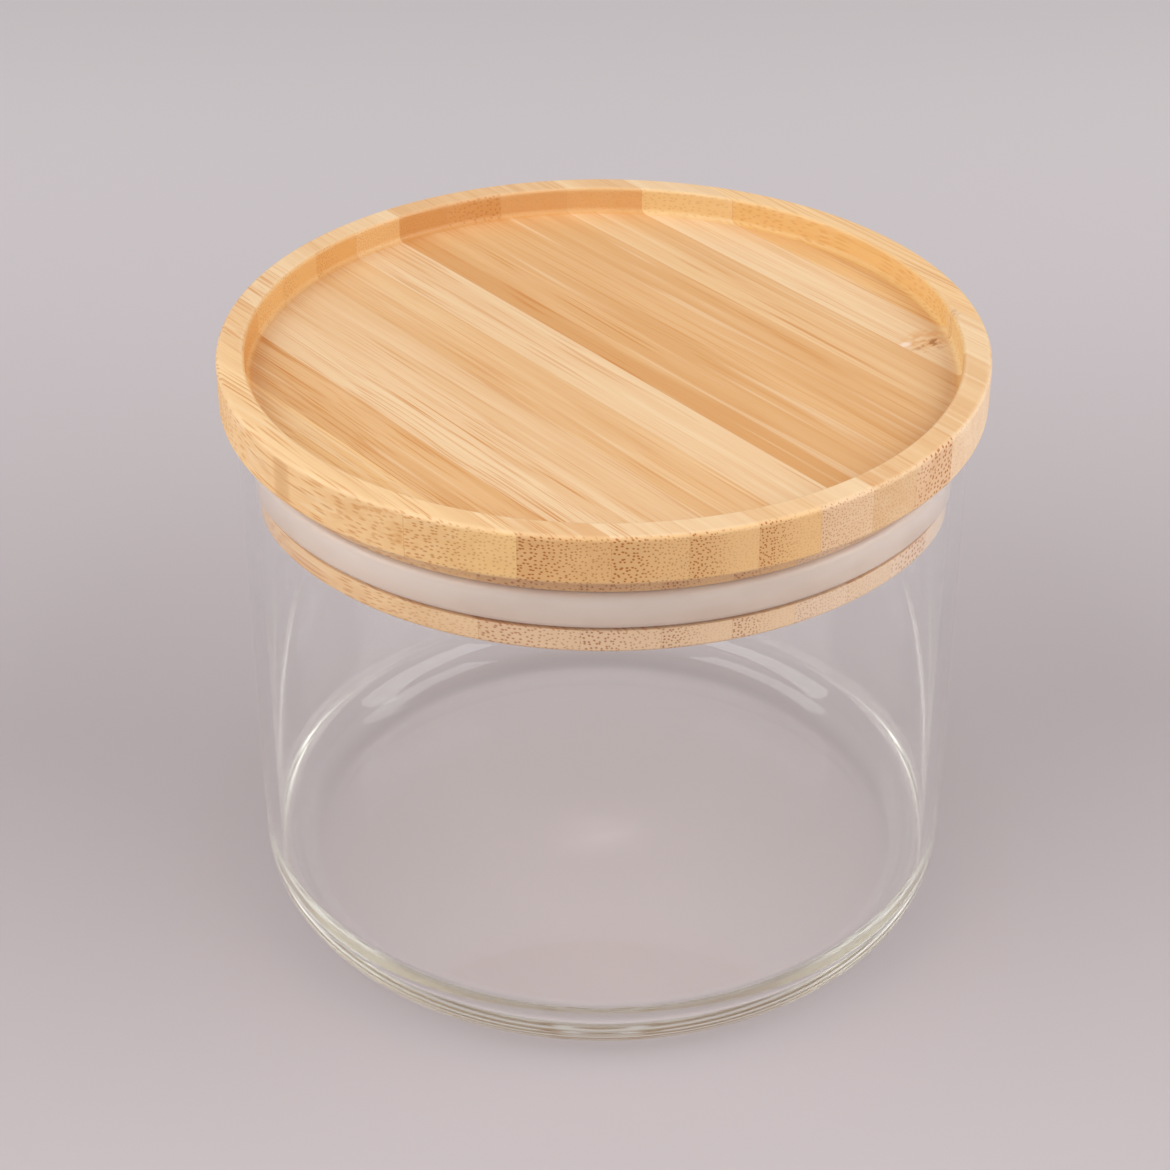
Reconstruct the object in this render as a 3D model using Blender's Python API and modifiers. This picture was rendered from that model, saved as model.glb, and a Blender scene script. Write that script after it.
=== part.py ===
"""Glass storage jar with a lid turned from laminated bamboo and a silicone sealing ring.

Metres, +Z up. The origin is the centre of the jar's base, and the jar's axis is Z.
The lid's strips run along Y, so its glue lines are planes across X.
"""

import math

import bpy

MM = 0.001

# Glass jar
JAR_RADIUS = 48.0 * MM
JAR_WALL = 1.8 * MM
JAR_HEIGHT = 75.7 * MM
JAR_FLOOR = 4.0 * MM
HEEL_RADIUS = 9.0 * MM
INNER_HEEL_RADIUS = 6.0 * MM
FOOT_RING_WIDTH = 3.0 * MM
PUSH_UP = 0.6 * MM
CENTRE_MARK_RADIUS = 6.0 * MM
CENTRE_MARK_DEPTH = 0.35 * MM

# Lid rim, which stands on the jar's lip
RIM_OVERHANG = 2.0 * MM
RIM_THICKNESS = 6.5 * MM
RIM_WALL = 3.6 * MM
RECESS_DEPTH = 3.65 * MM
RECESS_FILLET = 0.7 * MM
RIM_TOP_ROUND = 0.6 * MM
RIM_INNER_ROUND = 0.4 * MM
RIM_LOWER_ROUND = 0.5 * MM
LIP_GAP = 0.3 * MM

# Lid plug, which goes down into the jar
PLUG_CLEARANCE = 0.55 * MM
NECK_HEIGHT = 3.1 * MM
GROOVE_DEPTH = 2.65 * MM
FLANGE_THICKNESS = 3.1 * MM
FLANGE_ROUND = 0.5 * MM

# Sealing ring
SEAL_HEIGHT = 4.9 * MM
SEAL_SEAT_GAP = 0.3 * MM
SEAL_GLASS_CLEARANCE = 0.15 * MM
SEAL_OUTER_ROUND = 0.9 * MM
SEAL_INNER_ROUND = 0.3 * MM

# Where the glue lines lie across the lid, as shares of its core's radius inside the groove.
# The first line of all passes outside the plug, so that its strip is only rim.
FIRST_LINE_CLEARANCE = 0.3 * MM
GLUE_LINE_SHARES = (
    -0.898, -0.716, -0.538, -0.357, -0.171, 0.012, 0.191, 0.377, 0.578, 0.774, 0.957,
)

# Facets
AROUND = 84
LIP_STEPS = 8
HEEL_STEPS = 7
DOME_STEPS = 4
MARK_STEPS = 4
ROUND_STEPS = 3
SHARP_ANGLE = math.radians(28)
MERGE = 0.01 * MM
OVERRUN = 5.0 * MM

# Finishes: colour, roughness
BAMBOO_TONES = {
    "pale": ((0.84, 0.62, 0.36), 0.50),
    "honey": ((0.76, 0.49, 0.23), 0.52),
    "tan": ((0.66, 0.40, 0.18), 0.54),
}
STRIP_TONES = (
    "pale", "honey", "tan", "pale", "honey", "honey", "pale",
    "tan", "tan", "tan", "honey", "pale", "honey",
)
SILICONE = ((0.66, 0.62, 0.58), 0.45)
GLASS = ((0.95, 0.97, 0.95), 0.02)
GLASS_IOR = 1.47


def clear_scene():
    for obj in list(bpy.data.objects):
        bpy.data.objects.remove(obj, do_unlink=True)


def new_collection(name):
    collection = bpy.data.collections.new(name)
    bpy.context.scene.collection.children.link(collection)
    return collection


def new_material(name, finish, clear=False):
    colour, roughness = finish
    material = bpy.data.materials.new(name)
    material.use_nodes = True
    shader = material.node_tree.nodes["Principled BSDF"]
    shader.inputs["Base Color"].default_value = (*colour, 1.0)
    shader.inputs["Roughness"].default_value = roughness
    shader.inputs["Metallic"].default_value = 0.0
    if clear:
        shader.inputs["Transmission Weight"].default_value = 1.0
        shader.inputs["IOR"].default_value = GLASS_IOR
    return material


def arc(centre, radius, start, end, steps):
    """Points on an arc in the profile plane, from one angle to another in degrees."""
    turns = [math.radians(start + (end - start) * i / steps) for i in range(steps + 1)]
    x, z = centre
    return [(x + radius * math.cos(turn), z + radius * math.sin(turn)) for turn in turns]


def turned(name, profile, collection):
    """A solid turned about Z. The profile starts and ends on the axis, or ends where it starts."""
    mesh = bpy.data.meshes.new(name)
    edges = [(i, i + 1) for i in range(len(profile) - 1)]
    mesh.from_pydata([(x, 0.0, z) for x, z in profile], edges, [])
    obj = bpy.data.objects.new(name, mesh)
    collection.objects.link(obj)
    screw = obj.modifiers.new("Turn", "SCREW")
    screw.axis = "Z"
    screw.steps = screw.render_steps = AROUND
    screw.use_merge_vertices = True
    screw.merge_threshold = MERGE
    return obj


def settle(obj, material):
    """Keeps the shape that the modifiers give, shades it smooth up to its edges and finishes it."""
    graph = bpy.context.evaluated_depsgraph_get()
    mesh = bpy.data.meshes.new_from_object(obj.evaluated_get(graph))
    obj.modifiers.clear()
    mesh.name = obj.name
    obj.data = mesh
    mesh.materials.clear()
    mesh.materials.append(material)
    mesh.shade_smooth()
    mesh.set_sharp_from_angle(angle=SHARP_ANGLE)


def jar_inner_radius():
    return JAR_RADIUS - JAR_WALL


def lid_radius():
    return JAR_RADIUS + RIM_OVERHANG


def plug_radius():
    return jar_inner_radius() - PLUG_CLEARANCE


def groove_radius():
    return plug_radius() - GROOVE_DEPTH


def groove_height():
    return SEAL_HEIGHT + 2 * SEAL_SEAT_GAP


def plug_depth():
    return NECK_HEIGHT + groove_height() + FLANGE_THICKNESS


def base_dome():
    """The dished underside, from the foot ring in to the axis."""
    reach = JAR_RADIUS - HEEL_RADIUS - FOOT_RING_WIDTH
    sphere = (reach**2 + PUSH_UP**2) / (2 * PUSH_UP)
    radii = [reach * (1 - i / DOME_STEPS) for i in range(DOME_STEPS + 1)]
    return [(r, math.sqrt(sphere**2 - r**2) - (sphere - PUSH_UP)) for r in radii]


def centre_mark():
    """The shallow dimple that forming leaves in the middle of the floor, from the axis out."""
    points = []
    for i in range(MARK_STEPS + 1):
        share = i / MARK_STEPS
        drop = CENTRE_MARK_DEPTH * (1 + math.cos(math.pi * share)) / 2
        points.append((CENTRE_MARK_RADIUS * share, JAR_FLOOR - drop))
    return points


def jar_profile():
    """Down the outside from the lip, in along the base, then back up the inside."""
    lip = JAR_WALL / 2
    lip_centre = (JAR_RADIUS - lip, JAR_HEIGHT - lip)
    heel_centre = (JAR_RADIUS - HEEL_RADIUS, HEEL_RADIUS)
    inner_centre = (jar_inner_radius() - INNER_HEEL_RADIUS, JAR_FLOOR + INNER_HEEL_RADIUS)
    outside = arc(lip_centre, lip, 90, 0, LIP_STEPS // 2)
    outside += arc(heel_centre, HEEL_RADIUS, 0, -90, HEEL_STEPS)
    inside = arc(inner_centre, INNER_HEEL_RADIUS, -90, 0, HEEL_STEPS)
    inside += arc(lip_centre, lip, 180, 90, LIP_STEPS // 2)
    return outside + base_dome() + centre_mark() + inside


def lid_profile():
    """From the middle of the recess out over the rim, then down the plug and in below it.

    Height 0 is the rim's underside.
    """
    top = RIM_THICKNESS
    floor = top - RECESS_DEPTH
    recess = lid_radius() - RIM_WALL
    groove_top = -NECK_HEIGHT
    flange_top = groove_top - groove_height()
    bottom = -plug_depth()
    corner = (recess - RECESS_FILLET, floor + RECESS_FILLET)
    inner_edge = (recess + RIM_INNER_ROUND, top - RIM_INNER_ROUND)
    outer_edge = (lid_radius() - RIM_TOP_ROUND, top - RIM_TOP_ROUND)
    lower_edge = (lid_radius() - RIM_LOWER_ROUND, RIM_LOWER_ROUND)
    flange_edge = (plug_radius() - FLANGE_ROUND, bottom + FLANGE_ROUND)
    profile = [(0.0, floor)]
    profile += arc(corner, RECESS_FILLET, -90, 0, ROUND_STEPS)
    profile += arc(inner_edge, RIM_INNER_ROUND, 180, 90, ROUND_STEPS)
    profile += arc(outer_edge, RIM_TOP_ROUND, 90, 0, ROUND_STEPS)
    profile += arc(lower_edge, RIM_LOWER_ROUND, 0, -90, ROUND_STEPS)
    profile += [(plug_radius(), 0.0), (plug_radius(), groove_top)]
    profile += [(groove_radius(), groove_top), (groove_radius(), flange_top)]
    profile += [(plug_radius(), flange_top)]
    profile += arc(flange_edge, FLANGE_ROUND, 0, -90, ROUND_STEPS)
    profile += [(0.0, bottom)]
    return profile


def seal_profile():
    """The ring's section, a band with round edges, centred in the height of its groove."""
    top = -NECK_HEIGHT - SEAL_SEAT_GAP
    bottom = top - SEAL_HEIGHT
    outer = jar_inner_radius() - SEAL_GLASS_CLEARANCE
    inner = groove_radius() + SEAL_SEAT_GAP
    face = outer - SEAL_OUTER_ROUND
    back = inner + SEAL_INNER_ROUND
    profile = arc((face, top - SEAL_OUTER_ROUND), SEAL_OUTER_ROUND, 90, 0, ROUND_STEPS)
    profile += arc((face, bottom + SEAL_OUTER_ROUND), SEAL_OUTER_ROUND, 0, -90, ROUND_STEPS)
    profile += arc((back, bottom + SEAL_INNER_ROUND), SEAL_INNER_ROUND, -90, -180, ROUND_STEPS)
    profile += arc((back, top - SEAL_INNER_ROUND), SEAL_INNER_ROUND, 180, 90, ROUND_STEPS)
    return profile + profile[:1]


def slab(name, left, right, collection):
    """A board strip before turning: a box from one glue line to the next."""
    half_length = lid_radius() + OVERRUN
    low = -plug_depth() - OVERRUN
    high = RIM_THICKNESS + OVERRUN
    bpy.ops.mesh.primitive_cube_add(size=1.0, location=(0.0, 0.0, 0.0))
    obj = bpy.context.object
    obj.name = obj.data.name = name
    for vertex in obj.data.vertices:
        vertex.co.x = right if vertex.co.x > 0 else left
        vertex.co.y = half_length if vertex.co.y > 0 else -half_length
        vertex.co.z = high if vertex.co.z > 0 else low
    for holder in list(obj.users_collection):
        holder.objects.unlink(obj)
    collection.objects.link(obj)
    return obj


def build_jar(collection):
    jar = turned("glass_jar", jar_profile(), collection)
    settle(jar, new_material("clear_glass", GLASS, clear=True))


def build_strips(lid_form, seat, collection):
    """Each strip is its own board, cut to the turned shape of the whole lid."""
    edge = lid_radius() + OVERRUN
    first = -(plug_radius() + FIRST_LINE_CLEARANCE)
    lines = [-edge, first] + [share * groove_radius() for share in GLUE_LINE_SHARES] + [edge]
    for index, (left, right) in enumerate(zip(lines, lines[1:]), start=1):
        name = f"lid_strip_{index:02d}"
        strip = slab(name, left, right, collection)
        turn = strip.modifiers.new("Turn to shape", "BOOLEAN")
        turn.operation = "INTERSECT"
        turn.solver = "EXACT"
        turn.object = lid_form
        tone = STRIP_TONES[index - 1]
        settle(strip, new_material(f"bamboo_{index:02d}_{tone}", BAMBOO_TONES[tone]))
        strip.parent = seat


def build_lid(parts, cutters):
    """The lid stands on the jar's lip. Its seat is an empty on the axis that it lifts along."""
    seat = bpy.data.objects.new("lid_seat", None)
    parts.objects.link(seat)
    lid_form = turned("lid_form", lid_profile(), cutters)
    lid_form.hide_render = True
    lid_form.display_type = "WIRE"
    build_strips(lid_form, seat, parts)
    seal = turned("seal_ring", seal_profile(), parts)
    settle(seal, new_material("silicone", SILICONE))
    seal.parent = seat
    lid_form.parent = seat
    seat.location = (0.0, 0.0, JAR_HEIGHT + LIP_GAP)


def main():
    clear_scene()
    parts = new_collection("glass_storage_jar")
    cutters = new_collection("cutters")
    cutters.hide_render = True
    build_jar(parts)
    build_lid(parts, cutters)


main()
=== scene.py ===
"""Dresses a packed glass storage jar: clear glass, a milky sealing band and a lid of laminated bamboo.

Metres, +Z up. The jar stands at the origin with its axis on Z, and the lid's boards run along Y.
"""

import logging
import math
from dataclasses import dataclass
from enum import Enum

import bmesh
import bpy
from mathutils import Matrix, Vector


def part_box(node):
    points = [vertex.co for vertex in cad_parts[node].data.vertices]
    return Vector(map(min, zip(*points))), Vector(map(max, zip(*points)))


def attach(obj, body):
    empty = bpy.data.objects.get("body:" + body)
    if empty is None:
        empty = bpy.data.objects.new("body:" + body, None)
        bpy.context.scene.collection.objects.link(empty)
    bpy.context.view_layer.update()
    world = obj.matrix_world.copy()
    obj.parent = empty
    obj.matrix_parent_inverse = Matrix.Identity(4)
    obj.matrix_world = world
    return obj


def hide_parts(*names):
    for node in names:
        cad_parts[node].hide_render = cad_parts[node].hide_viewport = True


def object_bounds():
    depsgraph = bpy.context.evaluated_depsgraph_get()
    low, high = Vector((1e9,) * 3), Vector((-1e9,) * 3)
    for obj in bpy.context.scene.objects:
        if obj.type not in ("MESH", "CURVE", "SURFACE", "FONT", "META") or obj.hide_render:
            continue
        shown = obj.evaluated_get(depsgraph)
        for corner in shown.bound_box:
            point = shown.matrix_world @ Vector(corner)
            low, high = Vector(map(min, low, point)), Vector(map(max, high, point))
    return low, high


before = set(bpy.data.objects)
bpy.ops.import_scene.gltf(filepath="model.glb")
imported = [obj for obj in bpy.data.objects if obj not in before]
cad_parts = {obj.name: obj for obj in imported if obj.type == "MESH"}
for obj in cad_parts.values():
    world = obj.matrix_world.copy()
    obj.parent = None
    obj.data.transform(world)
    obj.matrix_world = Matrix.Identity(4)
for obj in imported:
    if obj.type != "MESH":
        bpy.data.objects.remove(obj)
CAD_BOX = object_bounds()

LOG = logging.getLogger("storage_jar")
MM = 0.001
BAND_THICKNESS = 2.75 * MM
PLUG_CLEARANCE = 0.55 * MM

FLOAT = "NodeSocketFloat"
INTEGER = "NodeSocketInt"
VECTOR = "NodeSocketVector"
GEOMETRY = "NodeSocketGeometry"
MATERIAL = "NodeSocketMaterial"

Point = tuple[float, float]
Triple = tuple[float, float, float]
Colour = tuple[float, float, float]
Socket = bpy.types.NodeSocket
Outputs = bpy.types.NodeOutputs
Tree = bpy.types.NodeTree
Material = bpy.types.Material
Object = bpy.types.Object


def paint(red: float, green: float, blue: float) -> Colour:
    """Turns a colour as a screen shows it, from 0 to 255, into the linear one that a shader takes."""
    shares = (red / 255, green / 255, blue / 255)
    return tuple(s / 12.92 if s <= 0.04045 else ((s + 0.055) / 1.055) ** 2.4 for s in shares)


class NodeSheet:
    """Adds nodes to one tree and links them, so that a pattern reads from top to bottom.

    Where a method takes an object, that is a socket to link or a plain value.
    """

    def __init__(self, tree: Tree) -> None:
        """Starts on a tree."""
        self.tree = tree

    def feed(self, socket: Socket, value: object) -> None:
        """Links an input to a socket, or sets it to a plain value.

        Args:
            socket: The input to feed.
            value: An output socket, a number, a vector or a linear colour.
        """
        if isinstance(value, Socket):
            self.tree.links.new(value, socket)
        elif socket.type == "RGBA":
            socket.default_value = (*value, 1.0)
        else:
            socket.default_value = value

    def fill(self, node: bpy.types.Node, feeds: tuple | dict) -> None:
        """Feeds a node's inputs, in their order or by their names."""
        for key, value in feeds.items() if isinstance(feeds, dict) else enumerate(feeds):
            self.feed(node.inputs[key], value)

    def add(self, kind: str, feeds: tuple | dict = (), **settings: object) -> bpy.types.Node:
        """Adds a node, sets its own properties and feeds its inputs.

        Args:
            kind: The node's type, such as ShaderNodeMath.
            feeds: What goes into its inputs, in their order or by their names.
            settings: Properties of the node.

        Returns:
            The new node.
        """
        node = self.tree.nodes.new(kind)
        for name, value in settings.items():
            setattr(node, name, value)
        self.fill(node, feeds)
        return node

    def use(self, group: Tree, position: Socket, values: dict) -> Outputs:
        """Uses a shader node group at a position, with its other inputs by name, and gives its outputs."""
        return self.add("ShaderNodeGroup", {"Position": position, **values}, node_tree=group).outputs

    def math(self, operation: str, first: object, second: object = 0.0, clamp: bool = False) -> Socket:
        """Does a sum on two numbers. clamp keeps the result from 0 to 1."""
        return self.add("ShaderNodeMath", (first, second), operation=operation, use_clamp=clamp).outputs[0]

    def times(self, first: object, second: object) -> Socket:
        """Multiplies two numbers."""
        return self.math("MULTIPLY", first, second)

    def plus(self, first: object, second: object) -> Socket:
        """Adds two numbers."""
        return self.math("ADD", first, second)

    def minus(self, first: object, second: object) -> Socket:
        """Takes the second number from the first."""
        return self.math("SUBTRACT", first, second)

    def vector(self, operation: str, first: object, second: object) -> Socket:
        """Does a sum on two vectors."""
        return self.add("ShaderNodeVectorMath", (first, second), operation=operation).outputs[0]

    def scaled(self, vector: Socket, factor: object) -> Socket:
        """Scales a vector."""
        return self.add("ShaderNodeVectorMath", {0: vector, "Scale": factor}, operation="SCALE").outputs[0]

    def measure(self, operation: str, first: object, second: object = (0.0, 0.0, 0.0)) -> Socket:
        """Takes one number from one vector, as LENGTH does, or from two, as DOT_PRODUCT does."""
        return self.add("ShaderNodeVectorMath", (first, second), operation=operation).outputs["Value"]

    def join(self, x: object, y: object, z: object = 0.0) -> Socket:
        """Makes a vector of three numbers."""
        return self.add("ShaderNodeCombineXYZ", (x, y, z)).outputs[0]

    def parts(self, vector: Socket) -> list[Socket]:
        """Splits a vector into its X, Y and Z."""
        return list(self.add("ShaderNodeSeparateXYZ", (vector,)).outputs)

    def fade(
        self, value: object, start: object, end: object, low: object = 0.0, high: object = 1.0
    ) -> Socket:
        """Fades smoothly from low to high as a value goes from start to end."""
        feeds = (value, start, end, low, high)
        return self.add("ShaderNodeMapRange", feeds, interpolation_type="SMOOTHSTEP").outputs[0]

    def mix(self, share: object, first: object, second: object) -> Socket:
        """Mixes two colours. share is how much of the second one shows."""
        feeds = {"Factor": share, 6: first, 7: second}
        return self.add("ShaderNodeMix", feeds, data_type="RGBA", blend_type="MIX").outputs[2]

    def tint(self, under: object, mask: object, strength: object, colour: Colour) -> Socket:
        """Lays a colour over another one where a mask is, up to a strength."""
        return self.mix(self.times(mask, strength), under, colour)

    def noise(self, position: Socket, stretch: Triple, detail: float = 2.0, output: int | str = 0) -> Socket:
        """Adds a noise texture whose cells are stretched.

        Args:
            position: The position's socket, in metres.
            stretch: Cells in a metre along X, Y and Z.
            detail: The noise's octaves.
            output: Which of the noise's outputs to take.

        Returns:
            The output's socket.
        """
        place = self.vector("MULTIPLY", position, stretch)
        feeds = {"Vector": place, "Scale": 1.0, "Detail": detail}
        return self.add("ShaderNodeTexNoise", feeds).outputs[output]

    def jitter(self, position: Socket, stretch: Triple) -> Socket:
        """Gives a vector of stretched noise about zero."""
        return self.vector("SUBTRACT", self.noise(position, stretch, 1.0, "Color"), (0.5, 0.5, 0.5))

    def bump(self, height: Socket) -> Socket:
        """Turns a height in metres into a normal."""
        return self.add("ShaderNodeBump", {"Distance": 1.0, "Strength": 1.0, "Height": height}).outputs[0]


class GroupSheet(NodeSheet):
    """The sheet of a new node group, whose inputs are read by name."""

    def __init__(self, name: str, inputs: dict[str, str], kind: str = "ShaderNodeTree") -> None:
        """Starts the group with its inputs.

        Args:
            name: The group's name.
            inputs: Names of its inputs, with their socket types.
            kind: The tree's type.
        """
        super().__init__(bpy.data.node_groups.new(name, kind))
        for title, socket_type in inputs.items():
            self.tree.interface.new_socket(name=title, in_out="INPUT", socket_type=socket_type)
        self.reads = self.add("NodeGroupInput").outputs

    def close(self, results: dict[str, Socket], socket_type: str = FLOAT) -> Tree:
        """Gives the group its outputs and feeds them.

        Args:
            results: What goes out, by the outputs' names.
            socket_type: The outputs' socket type.

        Returns:
            The finished tree.
        """
        for title in results:
            self.tree.interface.new_socket(name=title, in_out="OUTPUT", socket_type=socket_type)
        self.add("NodeGroupOutput", results)
        return self.tree


@dataclass(frozen=True)
class FibreBundles:
    """The dark fibre bundles of a bamboo culm: dots where it is cut across, dashes where it is cut along."""

    wander_stretch: Triple = (60.0, 26.0, 60.0)
    tremble_stretch: Triple = (420.0, 110.0, 420.0)
    tremble: float = 0.22 * MM
    seed_step: float = 0.37
    scatter: float = 0.75
    smallest_share: float = 0.24
    widest_share: float = 0.11
    spread_share: float = 0.08
    core_share: float = 0.35
    crowded_part: float = 0.8
    faintest: float = 0.25

    def group(self) -> Tree:
        """Builds the node group.

        Returns:
            The group's tree.
        """
        numbers = ("Seed", "Spacing", "Wander", "Left", "Right", "Crowding Left", "Crowding Right")
        inputs = {"Position": VECTOR, **dict.fromkeys(numbers, FLOAT)}
        sheet = GroupSheet("Fibre bundles", inputs)
        reads = sheet.reads
        place = sheet.vector("ADD", reads["Position"], sheet.times(reads["Seed"], self.seed_step))
        shift = sheet.scaled(sheet.jitter(place, self.wander_stretch), reads["Wander"])
        shiver = sheet.scaled(sheet.jitter(place, self.tremble_stretch), self.tremble)
        moved = sheet.vector("ADD", sheet.vector("ADD", reads["Position"], shift), shiver)
        across, _, height = sheet.parts(moved)
        section = sheet.join(*(sheet.math("DIVIDE", part, reads["Spacing"]) for part in (across, height)))
        place = sheet.vector("ADD", section, reads["Seed"])
        cells = sheet.add(
            "ShaderNodeTexVoronoi", {"Vector": place, "Scale": 1.0, "Randomness": self.scatter},
            voronoi_dimensions="2D", feature="F1",
        )
        reach = sheet.times(sheet.minus(reads["Right"], reads["Left"]), self.crowded_part)
        thinned = sheet.plus(reads["Left"], reach)
        side = sheet.parts(reads["Position"])[0]
        crowding = sheet.fade(side, reads["Left"], thinned, reads["Crowding Left"], reads["Crowding Right"])
        least = self.smallest_share - self.spread_share / 2
        chance = sheet.times(sheet.parts(cells.outputs["Color"])[0], self.spread_share)
        radius = sheet.plus(sheet.plus(sheet.times(crowding, self.widest_share), least), chance)
        core = sheet.times(radius, self.core_share)
        bundle = sheet.fade(cells.outputs["Distance"], core, radius, 1.0, 0.0)
        strength = sheet.fade(crowding, 0.0, 1.0, self.faintest, 1.0)
        bundle = sheet.math("MULTIPLY", bundle, strength, clamp=True)
        return sheet.close({"Bundle": bundle, "Crowding": crowding})


@dataclass(frozen=True)
class LongFibres:
    """Tone along the grain: soft bands, hair lines, and fine dark and pale streaks that come in groups."""

    drift_stretch: Triple = (50.0, 16.0, 50.0)
    drift: float = 1.2 * MM
    seed_step: float = 0.73
    band_stretch: Triple = (300.0, 9.0, 300.0)
    line_stretch: Triple = (780.0, 20.0, 780.0)
    hair_stretch: Triple = (2600.0, 70.0, 2600.0)
    dark_stretch: Triple = (2200.0, 40.0, 2200.0)
    pale_stretch: Triple = (900.0, 18.0, 900.0)
    patch_stretch: Triple = (130.0, 26.0, 130.0)
    band_share: float = 0.62
    patch_share: float = 0.8
    tone_range: Point = (0.38, 0.62)
    patch_range: Point = (0.42, 0.60)
    dark_range: Point = (0.54, 0.68)
    pale_range: Point = (0.56, 0.70)

    def group(self) -> Tree:
        """Builds the node group.

        Returns:
            The group's tree.
        """
        sheet = GroupSheet("Long fibres", {"Position": VECTOR, "Seed": FLOAT})
        shift = sheet.times(sheet.reads["Seed"], self.seed_step)
        still = sheet.vector("ADD", sheet.reads["Position"], shift)
        drift = sheet.jitter(still, self.drift_stretch)
        place = sheet.vector("ADD", still, sheet.vector("MULTIPLY", drift, (self.drift, 0.0, self.drift)))
        band = sheet.times(sheet.noise(place, self.band_stretch), self.band_share)
        line = sheet.times(sheet.noise(place, self.line_stretch), 1.0 - self.band_share)
        patch = sheet.fade(sheet.noise(place, self.patch_stretch), *self.patch_range)
        dark = sheet.fade(sheet.noise(place, self.dark_stretch, 1.0), *self.dark_range)
        pale = sheet.fade(sheet.noise(place, self.pale_stretch, 1.0), *self.pale_range)
        grouped = sheet.plus(sheet.times(patch, self.patch_share), 1.0 - self.patch_share)
        return sheet.close({
            "Tone": sheet.fade(sheet.plus(band, line), *self.tone_range),
            "Hair": sheet.noise(place, self.hair_stretch),
            "Dark": sheet.times(dark, grouped),
            "Pale": sheet.times(pale, sheet.minus(1.0, patch)),
        })


@dataclass(frozen=True)
class LidZones:
    """Where the rim's edges are paler from wear and a painted highlight, where its top is paler, where oil
    and painted shade darken the recess, and where the wood stayed dry.
    """

    soft_edge: float = 0.5 * MM
    wall_reach: float = 1.1 * MM
    wall_core_share: float = 0.4
    top_depth: float = 0.9 * MM
    dry_drop: float = 6.0 * MM
    patch_stretch: Triple = (380.0, 380.0, 380.0)
    patch_range: Point = (0.3, 0.7)
    width_range: Point = (0.7, 1.3)
    edge_wear_and_highlight_core_share: float = 0.35

    def group(self) -> Tree:
        """Builds the node group. The edges are rings about the lid's axis.

        Returns:
            The group's tree.
        """
        numbers = ("Rim Radius", "Recess Radius", "Top", "Underside", "Width")
        sheet = GroupSheet("Lid zones", {"Position": VECTOR, **dict.fromkeys(numbers, FLOAT)})
        reads = sheet.reads
        x, y, z = sheet.parts(reads["Position"])
        radius = sheet.measure("LENGTH", sheet.join(x, y))
        nearest = None
        for ring, height in (("Rim Radius", "Top"), ("Recess Radius", "Top"), ("Rim Radius", "Underside")):
            aside, above = sheet.minus(radius, reads[ring]), sheet.minus(z, reads[height])
            distance = sheet.measure("LENGTH", sheet.join(aside, above))
            nearest = distance if nearest is None else sheet.math("MINIMUM", nearest, distance)
        patchy = sheet.noise(reads["Position"], self.patch_stretch, 3.0)
        reach = sheet.times(reads["Width"], sheet.fade(patchy, *self.patch_range, *self.width_range))
        within = sheet.minus(reads["Recess Radius"], radius)
        inside = sheet.fade(within, -self.soft_edge, 0.0)
        recess = sheet.times(inside, sheet.math("GREATER_THAN", z, reads["Underside"]))
        beside = sheet.fade(within, self.wall_reach * self.wall_core_share, self.wall_reach, 1.0, 0.0)
        level = sheet.fade(sheet.minus(reads["Top"], z), 0.0, self.top_depth, 1.0, 0.0)
        drop = sheet.minus(reads["Underside"], z)
        return sheet.close({
            # Rim edges made paler, partly by wear and partly as a painted highlight.
            "Edge Wear And Highlight": sheet.fade(nearest, sheet.times(reach, self.edge_wear_and_highlight_core_share), reach, 1.0, 0.0),
            "Top": sheet.times(level, sheet.minus(1.0, inside)),
            "Recess": recess,
            # The foot of the recess wall, where oil and painted shade darken the wood.
            "Wall Oil And Shade": sheet.times(recess, beside),
            "Plug": sheet.fade(drop, self.dry_drop, self.dry_drop + self.soft_edge),
        })


@dataclass(frozen=True)
class HandledSurface:
    """Roughness and height of a surface that hands have used: faint smudges and a fine tooth."""

    smudge_detail: float = 3.0
    tooth_detail: float = 0.5

    def group(self) -> Tree:
        """Builds the node group.

        Returns:
            The group's tree.
        """
        numbers = ("Smudge Size", "Tooth Size", "Roughness", "Spread")
        sheet = GroupSheet("Handled surface", {"Position": VECTOR, **dict.fromkeys(numbers, FLOAT)})
        reads, made = sheet.reads, []
        for size, detail in (("Smudge Size", self.smudge_detail), ("Tooth Size", self.tooth_detail)):
            scale = sheet.math("DIVIDE", 1.0, reads[size])
            feeds = {"Vector": reads["Position"], "Scale": scale, "Detail": detail}
            made.append(sheet.add("ShaderNodeTexNoise", feeds).outputs[0])
        smudge, tooth = made
        swing = sheet.times(sheet.minus(smudge, 0.5), reads["Spread"])
        return sheet.close({
            "Roughness": sheet.math("ADD", swing, reads["Roughness"], clamp=True), "Tooth": tooth
        })


@dataclass(frozen=True)
class Skin:
    """The size of a handled surface's smudges and of its tooth, its roughness and how far that swings."""

    smudge_size: float
    tooth_size: float
    roughness: float
    spread: float


class SurfaceEffects:
    """The node groups that the finishes share, each built once."""

    def __init__(self) -> None:
        """Builds the groups."""
        self.bundles = FibreBundles().group()
        self.fibres = LongFibres().group()
        self.zones = LidZones().group()
        self.handled = HandledSurface().group()

    def handle(self, sheet: NodeSheet, position: Socket, skin: Skin) -> Outputs:
        """Uses the handled surface in a material.

        Args:
            sheet: The material's sheet.
            position: The position's socket.
            skin: The surface's own values.

        Returns:
            The group's outputs.
        """
        return sheet.use(self.handled, position, {
            "Smudge Size": skin.smudge_size, "Tooth Size": skin.tooth_size,
            "Roughness": skin.roughness, "Spread": skin.spread,
        })


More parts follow.
